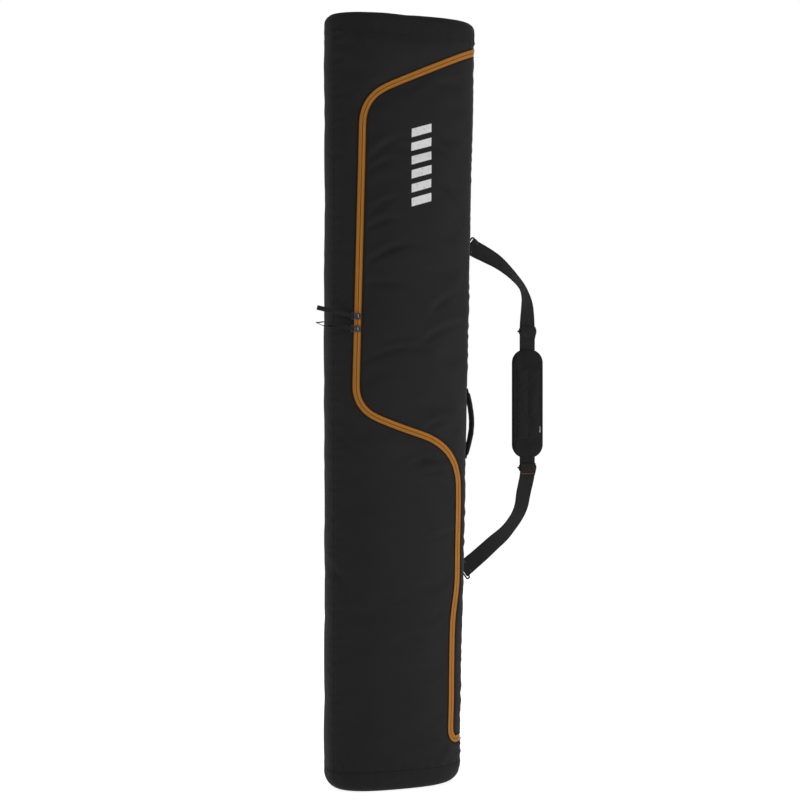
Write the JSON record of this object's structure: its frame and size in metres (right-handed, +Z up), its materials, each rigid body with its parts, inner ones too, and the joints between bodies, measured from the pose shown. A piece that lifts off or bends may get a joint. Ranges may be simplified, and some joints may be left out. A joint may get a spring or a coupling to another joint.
{
  "type": "snowboard bag",
  "caption": "Tall padded snowboard bag with a long curved zip and hinged flap on the front, a side haul handle and a clip-on padded shoulder strap.",
  "frame": {"origin": "on the floor, in the middle of the flat bottom of the bag", "axes": "+Z up along the bag, -Y out of the front with the zip, +X towards the side with the handle and the shoulder strap"},
  "size_m": [0.5626, 0.1443, 1.68],
  "materials": {
    "shell_fabric": "matte coated polyester weave",
    "foam": "closed-cell foam",
    "lining": "smooth nylon lining",
    "mesh": "open air mesh",
    "pad_fabric": "woven polyester",
    "tag": "woven tag",
    "zip_tape": "woven polyester tape",
    "zip_coil": "nylon coil",
    "print": "reflective transfer print",
    "thread": "bonded thread",
    "zip_metal": "black nickel plate",
    "strap_metal": "satin black powder coat",
    "buckle_plastic": "moulded acetal",
    "grip_fabric": "padded webbing",
    "webbing": "woven polypropylene webbing"
  },
  "bodies": {
    "bag": {"back_foam": "foam", "back_panel": "shell_fabric", "body_lining": "lining", "body_zip_coil": "zip_coil", "body_zip_tape": "zip_tape", "bottom_cap_foam": "foam", "bottom_cap_lining": "lining", "bottom_cap_panel": "shell_fabric", "front_foam": "foam", "front_panel": "shell_fabric", "haul_handle_patches": "webbing", "left_side_foam": "foam", "left_side_panel": "shell_fabric", "lower_anchor_tab": "webbing", "right_side_foam": "foam", "right_side_panel": "shell_fabric", "top_cap_foam": "foam", "top_cap_lining": "lining", "top_cap_panel": "shell_fabric", "upper_anchor_tab": "webbing", "zip_end_stops": "zip_metal"},
    "flap": {"flap_panel": "shell_fabric", "flap_foam": "foam", "flap_lining": "lining", "flap_zip_tape": "zip_tape", "flap_zip_coil": "zip_coil", "flap_print": "print"},
    "upper_slider": {"upper_slider": "zip_metal"},
    "upper_puller": {"upper_puller": "zip_metal"},
    "upper_pull_loop": {"upper_pull_loop": "webbing"},
    "upper_d_ring": {"upper_d_ring": "strap_metal"},
    "upper_hook": {"upper_hook": "strap_metal"},
    "upper_hook_gate": {"upper_hook_gate": "strap_metal"},
    "lower_slider": {"lower_slider": "zip_metal"},
    "lower_puller": {"lower_puller": "zip_metal"},
    "lower_pull_loop": {"lower_pull_loop": "webbing"},
    "lower_d_ring": {"lower_d_ring": "strap_metal"},
    "lower_hook": {"lower_hook": "strap_metal"},
    "lower_hook_gate": {"lower_hook_gate": "strap_metal"},
    "shoulder_strap": {"upper_hook_base": "strap_metal", "lower_hook_base": "strap_metal", "upper_strap_webbing": "webbing", "lower_strap_webbing": "webbing", "strap_bar_tacks": "thread"},
    "upper_buckle": {"upper_tri_glide": "buckle_plastic"},
    "lower_buckle": {"lower_tri_glide": "buckle_plastic", "lower_buckle_stitch": "thread"},
    "shoulder_pad": {"pad_cover": "pad_fabric", "pad_foam": "foam", "pad_back_mesh": "mesh", "pad_tag": "tag"},
    "haul_handle": {"haul_handle_grip": "grip_fabric", "haul_handle_webbing": "webbing"}
  },
  "joints": [
    {"name": "flap_hinge", "type": "hinge", "parent": "bag", "child": "flap", "pos_m": [0.16903, -0.014, 0.84], "axis": [0.0214, 0, 0.9998], "range_deg": [0, 115], "deforming": ["flap_zip_tape", "flap_zip_coil"]},
    {"name": "upper_slider_slide", "type": "slide", "parent": "bag", "child": "upper_slider", "axis": [0.0244, -0.0057, 0.9997], "range_m": [0, 0.4]},
    {"name": "upper_puller_swing", "type": "hinge", "parent": "upper_slider", "child": "upper_puller", "pos_m": [-0.09741, -0.0657, 1.02401], "axis": [0.0244, -0.0057, 0.9997], "range_deg": [0, 160]},
    {"name": "upper_pull_loop_swing", "type": "hinge", "parent": "upper_puller", "child": "upper_pull_loop", "pos_m": [-0.10968, -0.06205, 1.02433], "axis": [0.0244, -0.0057, 0.9997], "range_deg": [-6, 90]},
    {"name": "lower_slider_slide", "type": "slide", "parent": "bag", "child": "lower_slider", "axis": [0.0244, -0.0057, 0.9997], "range_m": [-0.1, 0]},
    {"name": "lower_puller_swing", "type": "hinge", "parent": "lower_slider", "child": "lower_puller", "pos_m": [-0.09809, -0.06552, 0.99701], "axis": [0.0244, -0.0057, 0.9997], "range_deg": [0, 160]},
    {"name": "lower_pull_loop_swing", "type": "hinge", "parent": "lower_puller", "child": "lower_pull_loop", "pos_m": [-0.11034, -0.06183, 0.99733], "axis": [0.0244, -0.0057, 0.9997], "range_deg": [-6, 90]},
    {"name": "shoulder_strap_swing", "type": "hinge", "parent": "bag", "child": "shoulder_strap", "pos_m": [0.16181, 0.04909, 1.22592], "axis": [0.0199, 0.0001, 0.9998], "range_deg": [-18, 100]},
    {"name": "upper_d_ring_turn", "type": "hinge", "parent": "bag", "child": "upper_d_ring", "pos_m": [0.16181, 0.04909, 1.22592], "axis": [0.0199, 0.0001, 0.9998], "range_deg": [-18, 100]},
    {"name": "lower_d_ring_turn", "type": "hinge", "parent": "bag", "child": "lower_d_ring", "pos_m": [0.14595, 0.04899, 0.43092], "axis": [0.0199, 0.0001, 0.9998], "range_deg": [-18, 100]},
    {"name": "upper_hook_swivel", "type": "hinge", "parent": "shoulder_strap", "child": "upper_hook", "pos_m": [0.16181, 0.04909, 1.22592], "axis": [0.8141, 0, -0.5807], "range_deg": [-15, 15]},
    {"name": "upper_hook_gate_turn", "type": "hinge", "parent": "upper_hook", "child": "upper_hook_gate", "pos_m": [0.18477, 0.05559, 1.20955], "axis": [0.5807, 0, 0.8141], "range_deg": [0, 20]},
    {"name": "lower_hook_swivel", "type": "hinge", "parent": "shoulder_strap", "child": "lower_hook", "pos_m": [0.14595, 0.04899, 0.43092], "axis": [0.8141, 0, 0.5807], "range_deg": [-15, 15]},
    {"name": "lower_hook_gate_turn", "type": "hinge", "parent": "lower_hook", "child": "lower_hook_gate", "pos_m": [0.16891, 0.05549, 0.44729], "axis": [-0.5807, 0, 0.8141], "range_deg": [0, 20]},
    {"name": "upper_buckle_slide", "type": "slide", "parent": "shoulder_strap", "child": "upper_buckle", "axis": [0, 0, 1], "range_m": [-0.008, 0.012]},
    {"name": "lower_buckle_slide", "type": "slide", "parent": "shoulder_strap", "child": "lower_buckle", "axis": [0, 0, 1], "range_m": [-0.012, 0.008]},
    {"name": "shoulder_pad_slide", "type": "slide", "parent": "shoulder_strap", "child": "shoulder_pad", "axis": [0, 0, 1], "range_m": [-0.01, 0.02]},
    {"name": "haul_handle_swing", "type": "hinge", "parent": "bag", "child": "haul_handle", "pos_m": [0.1735, 0.008, 0.711], "axis": [0.0214, 0, 0.9998], "range_deg": [-35, 35]}
  ],
  "couplings": [
    {"joint": "upper_d_ring_turn", "follows": "shoulder_strap_swing", "ratio": 1},
    {"joint": "lower_d_ring_turn", "follows": "shoulder_strap_swing", "ratio": 1}
  ]
}
